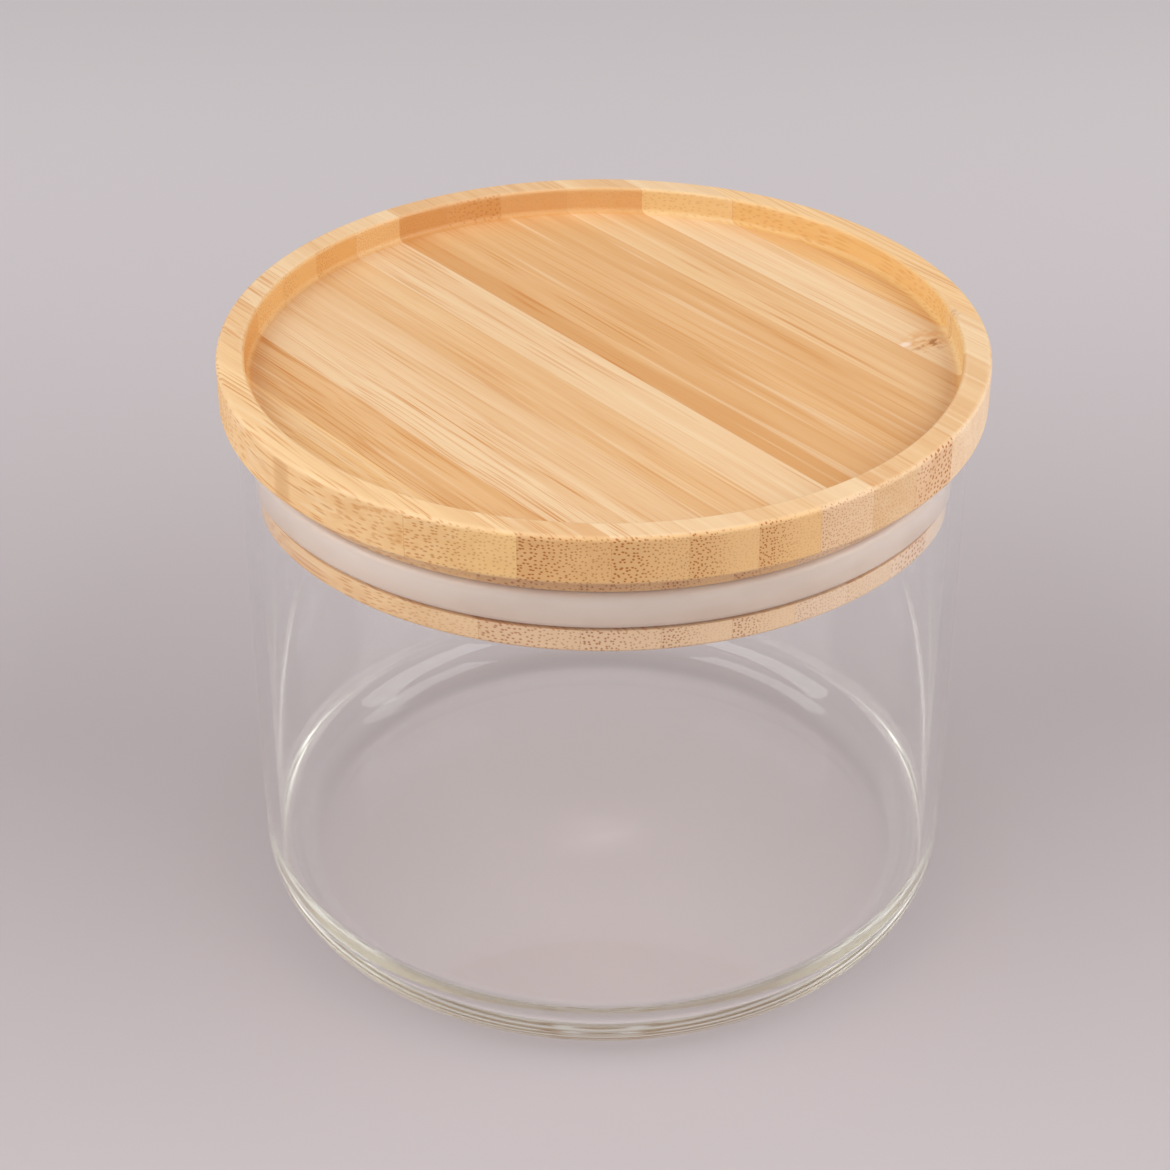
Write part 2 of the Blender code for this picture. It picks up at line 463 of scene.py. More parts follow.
def start_material(name: str) -> tuple[Material, NodeSheet, bpy.types.Node, Socket]:
    """Starts a material on the piece's own coordinates.

    Args:
        name: The material's name.

    Returns:
        The material, its sheet, its Principled shader and the position's socket.
    """
    material = bpy.data.materials.new(name)
    material.use_nodes = True
    sheet = NodeSheet(material.node_tree)
    shader = material.node_tree.nodes["Principled BSDF"]
    return material, sheet, shader, sheet.add("ShaderNodeTexCoord").outputs["Object"]


class BoardTone(Enum):
    """What a bamboo strip's long grain runs between: its pale wood and its deep wood."""

    STRAW = (paint(241, 207, 164), paint(232, 190, 142))
    GOLDEN = (paint(246, 204, 148), paint(234, 186, 127))
    HONEY = (paint(237, 196, 146), paint(226, 178, 124))
    TAN = (paint(231, 184, 130), paint(218, 162, 103))


class EndTone(Enum):
    """The colour of a strip's end grain between its fibre bundles."""

    PEARL = paint(248, 219, 184)
    BLOND = paint(244, 208, 169)
    SAND = paint(238, 201, 156)
    CREAM = paint(253, 208, 141)
    GOLD = paint(243, 196, 135)


@dataclass(frozen=True)
class ScarSpot:
    """One spot of a culm joint's scar: its place from the joint, its size, its colour and its rough edge."""

    shift: Point
    size: Point
    colour: Colour
    strength: float
    grain_range: Point


@dataclass(frozen=True)
class BambooFinish:
    """One strip's wood, sanded and oiled.

    crowding gives how crowded the dark bundles are at its left and right glue lines, depth how deep its tone
    is there, and seed sets its grain. joint is where a culm joint crosses its face, on X and Y.
    """

    tone: BoardTone
    end: EndTone
    crowding: Point
    depth: Point
    seed: float
    spacing: float
    dash_strength: float
    streak_strength: float = 0.4
    joint: Point | None = None
    oil_and_shade_tint: Colour = (0.90, 0.77, 0.50)
    wander: float = 2.2 * MM
    pore_colour: Colour = paint(176, 95, 14)
    dash_colour: Colour = paint(203, 130, 54)
    crowded_colour: Colour = paint(204, 144, 84)
    pale_colour: Colour = paint(248, 220, 180)
    glue_colour: Colour = paint(206, 152, 96)
    dry_colour: Colour = paint(250, 226, 200)
    end_range: Point = (0.22, 0.70)
    tone_swing: float = 0.85
    pale_strength: float = 0.4
    hair_range: Point = (0.35, 0.65)
    hair_strength: float = 0.08
    end_tone_strength: float = 0.25
    crowded_strength: float = 0.3
    wall_oil_and_shade_strength: float = 0.6
    recess_oil_and_shade_strength: float = 0.85
    dry_strength: float = 0.4
    pore_strength: float = 0.9
    oiled_pore_strength: float = 0.3
    glue_line: float = 0.05 * MM
    glue_strength: float = 0.5
    edge_wear_and_highlight_width: float = 0.75 * MM
    edge_wear_and_highlight_strength: float = 0.15
    top_face_pale_strength: float = 0.22
    skin: Skin = Skin(smudge_size=9 * MM, tooth_size=0.3 * MM, roughness=0.46, spread=0.18)
    pore_roughness: float = 0.2
    gloss: float = 0.35
    pit_depth: float = 0.03 * MM
    dash_depth: float = 0.012 * MM
    hair_depth: float = 0.006 * MM
    scar_stretch: Triple = (420.0, 1100.0, 0.0)
    scar_core_share: float = 0.3
    scar: tuple[ScarSpot, ...] = (
        ScarSpot((3.0 * MM, 0.8 * MM), (5.0 * MM, 3.4 * MM), paint(222, 158, 92), 0.6, (0.36, 0.56)),
        ScarSpot((0.0 * MM, 1.4 * MM), (1.4 * MM, 0.8 * MM), paint(250, 226, 204), 0.9, (0.30, 0.45)),
        ScarSpot((3.4 * MM, -0.8 * MM), (5.0 * MM, 1.9 * MM), paint(160, 98, 50), 0.75, (0.53, 0.62)),
    )

    def material(
        self, name: str, lines: Point, rim: dict[str, float], effects: SurfaceEffects
    ) -> Material:
        """Builds the strip's material.

        Args:
            name: The material's name.
            lines: The strip's left and right glue lines, on X.
            rim: The rings where the rim wears, by the names of the zones' inputs.
            effects: The shared node groups.

        Returns:
            The material.
        """
        material, sheet, shader, position = start_material(name)
        bundles = sheet.use(effects.bundles, position, {
            "Seed": self.seed, "Spacing": self.spacing, "Wander": self.wander,
            "Left": lines[0], "Right": lines[1],
            "Crowding Left": self.crowding[0], "Crowding Right": self.crowding[1],
        })
        fibres = sheet.use(effects.fibres, position, {"Seed": self.seed})
        zones = sheet.use(effects.zones, position, {"Width": self.edge_wear_and_highlight_width, **rim})
        handled = effects.handle(sheet, position, self.skin)
        bundle, side = bundles["Bundle"], sheet.parts(position)[0]
        facing = sheet.math("ABSOLUTE", sheet.parts(sheet.add("ShaderNodeNewGeometry").outputs["Normal"])[1])
        end = sheet.fade(facing, *self.end_range)
        wood = self.long_grain(sheet, fibres, side, lines)
        # Darkens the wood at the foot of the recess wall: partly oil, partly painted shade.
        wood = sheet.tint(wood, zones["Wall Oil And Shade"], self.wall_oil_and_shade_strength, self.oiled_and_shaded_colour())
        # Makes the rim's top face paler.
        wood = sheet.tint(wood, zones["Top"], self.top_face_pale_strength, self.pale_colour)
        if self.joint:
            wood = self.culm_joint(sheet, wood, position)
        wood = sheet.mix(end, wood, self.end_grain(sheet, bundles, fibres, zones))
        dash = sheet.fade(end, 0.0, 1.0, self.dash_strength, 0.0)
        wood = sheet.tint(wood, bundle, dash, self.dash_colour)
        wood = sheet.mix(self.glue_seam(sheet, side, lines), wood, self.glue_colour)
        # Paler rim edges: partly wear, partly a painted highlight on the rounded edges.
        wood = sheet.tint(wood, zones["Edge Wear And Highlight"], self.edge_wear_and_highlight_strength, self.pale_colour)
        pore = sheet.fade(zones["Recess"], 0.0, 1.0, self.pore_strength, self.oiled_pore_strength)
        wood = sheet.tint(wood, bundle, sheet.times(end, pore), self.pore_colour)
        rough = sheet.math("ADD", handled["Roughness"], sheet.times(bundle, self.pore_roughness), clamp=True)
        pit = sheet.times(bundle, sheet.fade(end, 0.0, 1.0, -self.dash_depth, -self.pit_depth))
        height = sheet.plus(pit, sheet.times(fibres["Hair"], self.hair_depth))
        feeds = {"Base Color": wood, "Roughness": rough, "Specular IOR Level": self.gloss}
        sheet.fill(shader, {"Normal": sheet.bump(height), **feeds})
        return material

    def oiled_and_shaded_colour(self) -> Colour:
        """Works out the wood's colour in the recess, darkened partly by oil and partly as painted shade.

        Returns:
            The linear colour.
        """
        pale, deep = self.tone.value
        level = sum(self.depth) / 2
        return tuple((p + (d - p) * level) * t for p, d, t in zip(pale, deep, self.oil_and_shade_tint))

    def long_grain(self, sheet: NodeSheet, fibres: Outputs, side: Socket, lines: Point) -> Socket:
        """Colours the strip's long faces.

        Args:
            sheet: The material's sheet.
            fibres: The long fibres' outputs.
            side: The position on X.
            lines: The left and right glue lines, on X.

        Returns:
            The colour's socket.
        """
        pale, deep = self.tone.value
        level = sheet.fade(side, *lines, *self.depth)
        swing = sheet.times(sheet.minus(fibres["Tone"], 0.5), self.tone_swing)
        wood = sheet.mix(sheet.math("ADD", level, swing, clamp=True), pale, deep)
        wood = sheet.tint(wood, fibres["Pale"], self.pale_strength, self.pale_colour)
        wood = sheet.tint(wood, fibres["Dark"], self.streak_strength, self.dash_colour)
        hair = sheet.fade(fibres["Hair"], *self.hair_range, 0.0, self.hair_strength)
        return sheet.mix(hair, wood, self.dash_colour)

    def end_grain(self, sheet: NodeSheet, bundles: Outputs, fibres: Outputs, zones: Outputs) -> Socket:
        """Colours the strip's end grain between its bundles.

        Args:
            sheet: The material's sheet.
            bundles: The fibre bundles' outputs.
            fibres: The long fibres' outputs.
            zones: The lid zones' outputs.

        Returns:
            The colour's socket.
        """
        wood = sheet.tint(self.end.value, fibres["Tone"], self.end_tone_strength, self.tone.value[1])
        wood = sheet.tint(wood, bundles["Crowding"], self.crowded_strength, self.crowded_colour)
        # Darkens the end grain inside the recess: partly oil, partly painted shade.
        wood = sheet.tint(wood, zones["Recess"], self.recess_oil_and_shade_strength, self.oiled_and_shaded_colour())
        return sheet.tint(wood, zones["Plug"], self.dry_strength, self.dry_colour)

    def glue_seam(self, sheet: NodeSheet, side: Socket, lines: Point) -> Socket:
        """Marks the thin dark seams where the strip is glued to its neighbours.

        Args:
            sheet: The material's sheet.
            side: The position on X.
            lines: The left and right glue lines, on X.

        Returns:
            The seam's strength.
        """
        from_left, from_right = (sheet.math("ABSOLUTE", sheet.minus(side, line)) for line in lines)
        nearest = sheet.math("MINIMUM", from_left, from_right)
        return sheet.fade(nearest, 0.0, self.glue_line, self.glue_strength, 0.0)

    def culm_joint(self, sheet: NodeSheet, wood: Socket, position: Socket) -> Socket:
        """Adds the scar of a culm joint: a stained patch, a pale spot and a few dark flecks.

        Args:
            sheet: The material's sheet.
            wood: The colour so far.
            position: The position's socket.

        Returns:
            The colour with the scar.
        """
        local = sheet.vector("SUBTRACT", position, (*self.joint, 0.0))
        rough = sheet.noise(local, self.scar_stretch, 3.0)
        for spot in self.scar:
            place = sheet.vector("SUBTRACT", local, (*spot.shift, 0.0))
            place = sheet.vector("MULTIPLY", place, (1 / spot.size[0], 1 / spot.size[1], 0.0))
            inside = sheet.fade(sheet.measure("LENGTH", place), self.scar_core_share, 1.0, 1.0, 0.0)
            mask = sheet.times(inside, sheet.fade(rough, *spot.grain_range))
            wood = sheet.tint(wood, mask, spot.strength, spot.colour)
        return wood


@dataclass(frozen=True)
class GlassShadow:
    """How much of the lamps' light gets straight through the jar.

    The thick heel bends it aside, which leaves a soft dark ring on the table, and the dimple in the middle of
    the floor gathers it.
    """

    clear_share: float = 0.985
    heel_share: float = 0.75
    mark_share: float = 1.16
    heel_start: float = 41.0 * MM
    heel_end: float = 44.5 * MM
    heel_foot: float = 5.0 * MM
    heel_top: float = 9.0 * MM
    mark_edge: float = 9.0 * MM
    streak_stretch: Triple = (160.0, 420.0, 0.0)
    streak_range: Point = (0.35, 0.65)

    def colour(self, sheet: NodeSheet, position: Socket) -> Socket:
        """Builds the colour that light takes on as it goes through.

        Args:
            sheet: The glass material's sheet.
            position: The position's socket.

        Returns:
            The colour's socket.
        """
        x, y, z = sheet.parts(position)
        radius = sheet.measure("LENGTH", sheet.join(x, y))
        low = sheet.fade(z, self.heel_foot, self.heel_top, 1.0, 0.0)
        ring = sheet.times(sheet.fade(radius, self.heel_start, self.heel_end), low)
        streaks = sheet.fade(sheet.noise(position, self.streak_stretch), *self.streak_range)
        middle = sheet.times(sheet.fade(radius, 0.0, self.mark_edge, 1.0, 0.0), low)
        clear, dim, bright = ((share,) * 3 for share in (self.clear_share, self.heel_share, self.mark_share))
        return sheet.mix(sheet.times(middle, streaks), sheet.mix(ring, clear, dim), bright)


@dataclass(frozen=True)
class GlassFinish:
    """Clear borosilicate glass with the faint waves of hand-finished tube."""

    colour: Colour = (1.0, 1.0, 1.0)
    depth_colour: Colour = (0.80, 0.86, 0.55)
    depth_density: float = 3.0
    refraction: float = 1.47
    gloss: float = 1.0
    skin: Skin = Skin(smudge_size=14 * MM, tooth_size=14 * MM, roughness=0.0, spread=0.01)
    heel_height: float = 3.6 * MM
    heel_core_share: float = 0.6
    heel_roughness: float = 0.06
    wave: float = 0.001 * MM

    def material(self, name: str, effects: SurfaceEffects) -> Material:
        """Builds the glass, which lets the lamps' light through to what stands behind it.

        Args:
            name: The material's name.
            effects: The shared node groups.

        Returns:
            The material.
        """
        material, sheet, shader, position = start_material(name)
        handled = effects.handle(sheet, position, self.skin)
        start, height = self.heel_height * self.heel_core_share, sheet.parts(position)[2]
        heel = sheet.fade(height, start, self.heel_height, self.heel_roughness, 0.0)
        sheet.fill(shader, {
            "Base Color": self.colour, "Transmission Weight": 1.0, "IOR": self.refraction,
            "Specular IOR Level": self.gloss,
            "Normal": sheet.bump(sheet.times(handled["Tooth"], self.wave)),
            "Roughness": sheet.math("ADD", handled["Roughness"], heel, clamp=True),
        })
        feeds = {"Color": self.depth_colour, "Density": self.depth_density}
        depth = sheet.add("ShaderNodeVolumeAbsorption", feeds)
        clear = sheet.add("ShaderNodeBsdfTransparent", {"Color": GlassShadow().colour(sheet, position)})
        path = sheet.add("ShaderNodeLightPath").outputs
        unbent = sheet.math("MAXIMUM", path["Is Shadow Ray"], path["Is Diffuse Ray"])
        mixer = sheet.add("ShaderNodeMixShader", (unbent, shader.outputs[0], clear.outputs[0]))
        leave = material.node_tree.nodes["Material Output"]
        sheet.fill(leave, {"Volume": depth.outputs[0], "Surface": mixer.outputs[0]})
        return material


@dataclass(frozen=True)
class SiliconeFinish:
    """Milky silicone with a satin skin and a little dust."""

    milk: Colour = paint(241, 226, 213)
    # Painted shade: the darker colour at the band's foot.
    shade: Colour = paint(216, 192, 172)
    skin: Skin = Skin(smudge_size=6 * MM, tooth_size=0.25 * MM, roughness=0.42, spread=0.2)
    tooth_depth: float = 0.004 * MM
    cloud_stretch: Triple = (70.0, 70.0, 180.0)
    cloud_range: Point = (0.35, 0.65)
    cloud_swing: float = 0.15
    glow_weight: float = 0.25
    glow_radius: Triple = (1.0, 0.8, 0.6)
    glow_depth: float = 1.2 * MM

    def material(self, name: str, bottom: float, top: float, effects: SurfaceEffects) -> Material:
        """Builds the silicone, with painted shade that darkens it towards its foot.

        Args:
            name: The material's name.
            bottom: The band's lower edge.
            top: Its upper edge.
            effects: The shared node groups.

        Returns:
            The material.
        """
        material, sheet, shader, position = start_material(name)
        handled = effects.handle(sheet, position, self.skin)
        cloud = sheet.noise(position, self.cloud_stretch, 3.0)
        cloud = sheet.fade(cloud, *self.cloud_range, -self.cloud_swing, self.cloud_swing)
        # Painted shade: darker towards the band's foot, paler towards its top.
        rise = sheet.math("ADD", sheet.fade(sheet.parts(position)[2], bottom, top), cloud, clamp=True)
        sheet.fill(shader, {
            "Base Color": sheet.mix(rise, self.shade, self.milk), "Roughness": handled["Roughness"],
            "Subsurface Weight": self.glow_weight, "Subsurface Radius": self.glow_radius,
            "Subsurface Scale": self.glow_depth,
            "Normal": sheet.bump(sheet.times(handled["Tooth"], self.tooth_depth)),
        })
        return material


class Outline:
    """The half section of a turned piece, in metres: distance from the axis, and height."""

    CHORD = 0.45 * MM
    LEAST_STEPS = 5
    GUARD = 0.04 * MM
    LONG_RUN = 0.3 * MM

    def __init__(self, points: list[Point] | None = None) -> None:
        """Starts an outline, with its first points if there are any."""
        self.points = list(points or [])
        self.flats: set[int] = set()

    def to(self, radius: float, height: float) -> "Outline":
        """Draws a straight line.

        Args:
            radius: Its end's distance from the axis.
            height: Its end's height.

        Returns:
            This outline.
        """
        if self.points:
            self.flats.add(len(self.points) - 1)
        self.points.append((radius, height))
        return self

    def along(self, points: list[Point]) -> "Outline":
        """Follows a smooth curve's points, and gives the outline back."""
        self.points += points
        return self

    def arc(self, centre: Point, radius: float, start: float, end: float) -> "Outline":
        """Draws an arc, after a straight line to its start.

        Args:
            centre: The arc's centre.
            radius: The arc's radius.
            start: Its first angle, in degrees, from the outward direction.
            end: Its last angle, in degrees.

        Returns:
            This outline.
        """
        turn = math.radians(end - start)
        steps = max(self.LEAST_STEPS, round(abs(turn) * radius / self.CHORD))
        angles = [math.radians(start) + turn * step / steps for step in range(steps + 1)]
        curve = [(centre[0] + radius * math.cos(a), centre[1] + radius * math.sin(a)) for a in angles]
        return self.to(*curve[0]).along(curve[1:])

    def guarded(self) -> list[Point]:
        """Adds a point just inside both ends of each straight run, so that flat faces shade flat.

        Returns:
            The outline's points.
        """
        made = [self.points[0]]
        for index, (start, end) in enumerate(zip(self.points, self.points[1:])):
            run = math.dist(start, end)
            if index in self.flats and run > self.LONG_RUN:
                inset = self.GUARD / run
                for share in (inset, 1 - inset):
                    made.append(tuple(a + (b - a) * share for a, b in zip(start, end)))
            made.append(end)
        return made


class TurningLathe:
    """Turns an outline into a solid with a Geometry Nodes tree."""

    PIVOT = 0.1
    WELD = 0.002 * MM

    def __init__(self) -> None:
        """Builds the tree, whose inputs are the outline, the steps around, the pivot and the finish."""
        inputs = {"Outline": GEOMETRY, "Steps": INTEGER, "Pivot": FLOAT, "Finish": MATERIAL}
        sheet = GroupSheet("Turned form", inputs, "GeometryNodeTree")
        reads = sheet.reads
        line = sheet.add("GeometryNodeMeshToCurve", {"Mesh": reads["Outline"]})
        back = sheet.join(sheet.times(reads["Pivot"], -1.0), 0.0)
        feeds = {"Geometry": line.outputs[0], "Translation": back, "Scale": (1.0, -1.0, 1.0)}
        shift = sheet.add("GeometryNodeTransform", feeds)
        feeds = {"Resolution": reads["Steps"], "Radius": reads["Pivot"]}
        ring = sheet.add("GeometryNodeCurvePrimitiveCircle", feeds)
        feeds = {"Curve": ring.outputs["Curve"], "Profile Curve": shift.outputs[0]}
        sweep = sheet.add("GeometryNodeCurveToMesh", feeds)
        weld = sheet.add("GeometryNodeMergeByDistance", {"Geometry": sweep.outputs[0], "Distance": self.WELD})
        self.tree = sheet.close({"Solid": dressed(sheet, weld.outputs[0])}, GEOMETRY)

    def turn(self, name: str, outline: Outline, steps: int, finish: Material | None) -> Object:
        """Turns an outline about Z.

        Args:
            name: The new object's name.
            outline: The half section.
            steps: Faces around.
            finish: The material, or None for a form that is only cut from.

        Returns:
            The turned solid as a plain mesh.
        """
        points = outline.guarded()
        mesh = bpy.data.meshes.new(name)
        edges = [(i, i + 1) for i in range(len(points) - 1)]
        mesh.from_pydata([(x, z, 0.0) for x, z in points], edges, [])
        obj = stand(name, mesh)
        run_tree(obj, self.tree, {"Steps": steps, "Pivot": self.PIVOT, "Finish": finish})
        return obj


class StripSaw:
    """Cuts a strip between two glue lines out of a turned solid, with a Geometry Nodes tree."""

    def __init__(self) -> None:
        """Builds the tree, whose inputs are the solid, two glue lines, the board's reach and the finish."""
        inputs = {"Solid": GEOMETRY, "Left": FLOAT, "Right": FLOAT, "Reach": FLOAT, "Finish": MATERIAL}
        sheet = GroupSheet("Board strip", inputs, "GeometryNodeTree")
        reads = sheet.reads
        length = sheet.times(reads["Reach"], 2.0)
        size = sheet.join(sheet.minus(reads["Right"], reads["Left"]), length, length)
        middle = sheet.join(sheet.times(sheet.plus(reads["Left"], reads["Right"]), 0.5), 0.0)
        board = sheet.add("GeometryNodeMeshCube", {"Size": size})
        place = sheet.add("GeometryNodeTransform", {"Geometry": board.outputs[0], "Translation": middle})
        cut = sheet.add("GeometryNodeMeshBoolean", operation="INTERSECT", solver="EXACT")
        for shape in (reads["Solid"], place.outputs[0]):
            sheet.feed(cut.inputs["Mesh 2"], shape)
        self.tree = sheet.close({"Strip": dressed(sheet, cut.outputs[0])}, GEOMETRY)

    def cut(self, name: str, solid: Object, lines: Point, reach: float, finish: Material) -> Object:
        """Cuts one strip.

        Args:
            name: The new object's name.
            solid: The turned solid.
            lines: The left and right glue lines, on X.
            reach: Half the board's length and height, beyond the solid.
            finish: The strip's material.

        Returns:
            The strip as a plain mesh.
        """
        obj = stand(name, solid.data.copy())
        run_tree(obj, self.tree, {"Left": lines[0], "Right": lines[1], "Reach": reach, "Finish": finish})
        return obj


def dressed(sheet: GroupSheet, shape: Socket) -> Socket:
    """Ends a Geometry Nodes tree: real geometry, with the Finish input as its material.

    Args:
        sheet: The tree's sheet.
        shape: The geometry.

    Returns:
        The finished geometry.
    """
    real = sheet.add("GeometryNodeRealizeInstances", (shape,))
    feeds = {"Geometry": real.outputs[0], "Material": sheet.reads["Finish"]}
    return sheet.add("GeometryNodeSetMaterial", feeds).outputs[0]


def stand(name: str, data: bpy.types.ID) -> Object:
    """Stands a new object in the scene.

    Args:
        name: The object's name.
        data: Its mesh, lamp or camera.

    Returns:
        The object.
    """
    obj = bpy.data.objects.new(name, data)
    bpy.context.scene.collection.objects.link(obj)
    return obj


def run_tree(obj: Object, tree: Tree, values: dict[str, object]) -> None:
    """Runs a Geometry Nodes tree on an object, and keeps the result as its plain mesh.

    Args:
        obj: The object.
        tree: The tree.
        values: The tree's inputs by name.
    """
    modifier = obj.modifiers.new(tree.name, "NODES")
    modifier.node_group = tree
    sockets = {item.name: item.identifier for item in tree.interface.items_tree if item.in_out == "INPUT"}
    for name, value in values.items():
        modifier[sockets[name]] = value
    graph = bpy.context.evaluated_depsgraph_get()
    mesh = bpy.data.meshes.new_from_object(obj.evaluated_get(graph))
    obj.modifiers.clear()
    mesh.name = obj.name
    obj.data = mesh


def close_and_smooth(obj: Object, sharp_angle: float) -> None:
    """Points the faces of a closed solid outwards and shades it smooth up to its edges.

    Args:
        obj: The object.
        sharp_angle: The angle past which an edge stays sharp.
    """
    work = bmesh.new()
    work.from_mesh(obj.data)
    bmesh.ops.recalc_face_normals(work, faces=work.faces)
    work.to_mesh(obj.data)
    work.free()
    obj.data.shade_smooth()
    obj.data.set_sharp_from_angle(angle=sharp_angle)


@dataclass
class GlassJar:
    """The turned glass jar, sized by its CAD node."""

    radius: float
    height: float
    wall: float = 1.8 * MM
    floor: float = 4.0 * MM
    heel: float = 8.0 * MM
    inner_heel: float = 7.0 * MM
    foot_ring: float = 3.0 * MM
    push_up: float = 0.6 * MM
    mark_radius: float = 6.0 * MM
    mark_depth: float = 0.35 * MM
    steps: int = 360
    curve_points: int = 24
    sharp_angle: float = math.radians(60)

    def dome(self) -> list[Point]:
        """Draws the dished underside.

        Returns:
            Its points, from the foot ring in to the axis.
        """
        reach = self.radius - self.heel - self.foot_ring
        sphere = (reach**2 + self.push_up**2) / (2 * self.push_up)
        radii = [reach * (1 - step / self.curve_points) for step in range(self.curve_points + 1)]
        return [(r, math.sqrt(sphere**2 - r**2) - (sphere - self.push_up)) for r in radii]

    def mark(self) -> list[Point]:
        """Draws the dimple in the middle of the floor.

        Returns:
            Its points, from the axis out.
        """
        shares = [step / self.curve_points for step in range(self.curve_points + 1)]
        drop = self.mark_depth / 2
        return [(self.mark_radius * s, self.floor - drop * (1 + math.cos(math.pi * s))) for s in shares]

    def outline(self) -> Outline:
        """Draws the half section.

        Returns:
            The outline, from the lip down the outside and back up the inside.
        """
        lip = self.wall / 2
        crest = (self.radius - lip, self.height - lip)
        inner = self.radius - self.wall
        line = Outline()
        line.arc(crest, lip, 90, 0)
        line.arc((self.radius - self.heel, self.heel), self.heel, 0, -90)
        line.to(*self.dome()[0])
        line.along(self.dome()[1:] + self.mark())
        line.arc((inner - self.inner_heel, self.floor + self.inner_heel), self.inner_heel, -90, 0)
        line.arc(crest, lip, 180, 90)
        return line

    def build(self, lathe: TurningLathe, finish: Material) -> Object:
        """Turns the jar.

        Args:
            lathe: The turning tree.
            finish: The glass.

        Returns:
            The jar.
        """
        obj = lathe.turn("turned_glass", self.outline(), self.steps, finish)
        close_and_smooth(obj, self.sharp_angle)
        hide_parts("glass_jar")
        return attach(obj, "jar")


@dataclass
class SealingBand:
    """The silicone ring round the lid's plug, sized by its CAD node."""

    outer: float
    inner: float
    bottom: float
    top: float
    outer_round: float = 0.9 * MM
    inner_round: float = 0.3 * MM
    steps: int = 256
    sharp_angle: float = math.radians(60)

    def outline(self) -> Outline:
        """Draws the closed section.

        Returns:
            The outline, which ends where it starts.
        """
        face = self.outer - self.outer_round
        back = self.inner + self.inner_round
        line = Outline()
        line.arc((face, self.top - self.outer_round), self.outer_round, 90, 0)
        line.arc((face, self.bottom + self.outer_round), self.outer_round, 0, -90)
        line.arc((back, self.bottom + self.inner_round), self.inner_round, -90, -180)
        line.arc((back, self.top - self.inner_round), self.inner_round, 180, 90)
        return line.to(*line.points[0])

    def build(self, lathe: TurningLathe, finish: Material) -> Object:
        """Turns the band.

        Args:
            lathe: The turning tree.
            finish: The silicone.

        Returns:
            The band.
        """
        obj = lathe.turn("sealing_band", self.outline(), self.steps, finish)
        close_and_smooth(obj, self.sharp_angle)
        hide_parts("seal_ring")
        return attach(obj, "lid")


@dataclass
class BambooLid:
    """The lid, turned from a board of glued strips. Its heights are measured from the rim's underside."""

    radius: float
    plug_radius: float
    seat: float
    lines: list[float]
    rim: float = 6.5 * MM
    rim_wall: float = 3.6 * MM
    recess: float = 3.65 * MM
    recess_fillet: float = 0.7 * MM
    top_round: float = 0.6 * MM
    inner_round: float = 0.4 * MM
    lower_round: float = 0.5 * MM
    neck: float = 3.1 * MM
    groove: float = 5.5 * MM
    groove_depth: float = 2.65 * MM
    flange: float = 3.1 * MM
    flange_round: float = 0.5 * MM
    steps: int = 256
    sharp_angle: float = math.radians(30)

    def outline(self) -> Outline:
        """Draws the half section of the whole lid.

        Returns:
            The outline, from the middle of the recess out and down to the plug's underside.
        """
        top, low = self.seat + self.rim, self.seat - self.neck - self.groove - self.flange
        floor, well = top - self.recess, self.radius - self.rim_wall
        groove_top, core = self.seat - self.neck, self.plug_radius - self.groove_depth
        groove_floor = groove_top - self.groove
        line = Outline([(0.0, floor)])
        line.arc((well - self.recess_fillet, floor + self.recess_fillet), self.recess_fillet, -90, 0)
        line.arc((well + self.inner_round, top - self.inner_round), self.inner_round, 180, 90)
        line.arc((self.radius - self.top_round, top - self.top_round), self.top_round, 90, 0)
        line.arc((self.radius - self.lower_round, self.seat + self.lower_round), self.lower_round, 0, -90)
        line.to(self.plug_radius, self.seat).to(self.plug_radius, groove_top)
        line.to(core, groove_top).to(core, groove_floor).to(self.plug_radius, groove_floor)
        line.arc((self.plug_radius - self.flange_round, low + self.flange_round), self.flange_round, 0, -90)
        return line.to(0.0, low)

    def rim_rings(self) -> dict[str, float]:
        """Says where the rim's edges are.

        Returns:
            Their radii and heights, by the names of the zones' inputs.
        """
        return {
            "Rim Radius": self.radius, "Recess Radius": self.radius - self.rim_wall,
            "Top": self.seat + self.rim, "Underside": self.seat,
        }

    def build(
        self, lathe: TurningLathe, saw: StripSaw, finishes: list[BambooFinish], effects: SurfaceEffects
    ) -> list[Object]:
        """Turns the lid and cuts it into its strips.

        Args:
            lathe: The turning tree.
            saw: The cutting tree.
            finishes: The strips' finishes, left to right.
            effects: The shared node groups.

        Returns:
            The strips.
        """
        solid = lathe.turn("whole_lid", self.outline(), self.steps, None)
        close_and_smooth(solid, self.sharp_angle)
        strips = []
        for index, finish in enumerate(finishes, start=1):
            node, lines = f"lid_strip_{index:02d}", tuple(self.lines[index - 1 : index + 1])
            material = finish.material(f"bamboo_{index:02d}", lines, self.rim_rings(), effects)
            strip = saw.cut(f"board_{index:02d}", solid, lines, 2 * self.radius, material)
            close_and_smooth(strip, self.sharp_angle)
            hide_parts(node)
            strips.append(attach(strip, "lid"))
        bpy.data.objects.remove(solid)
        return strips
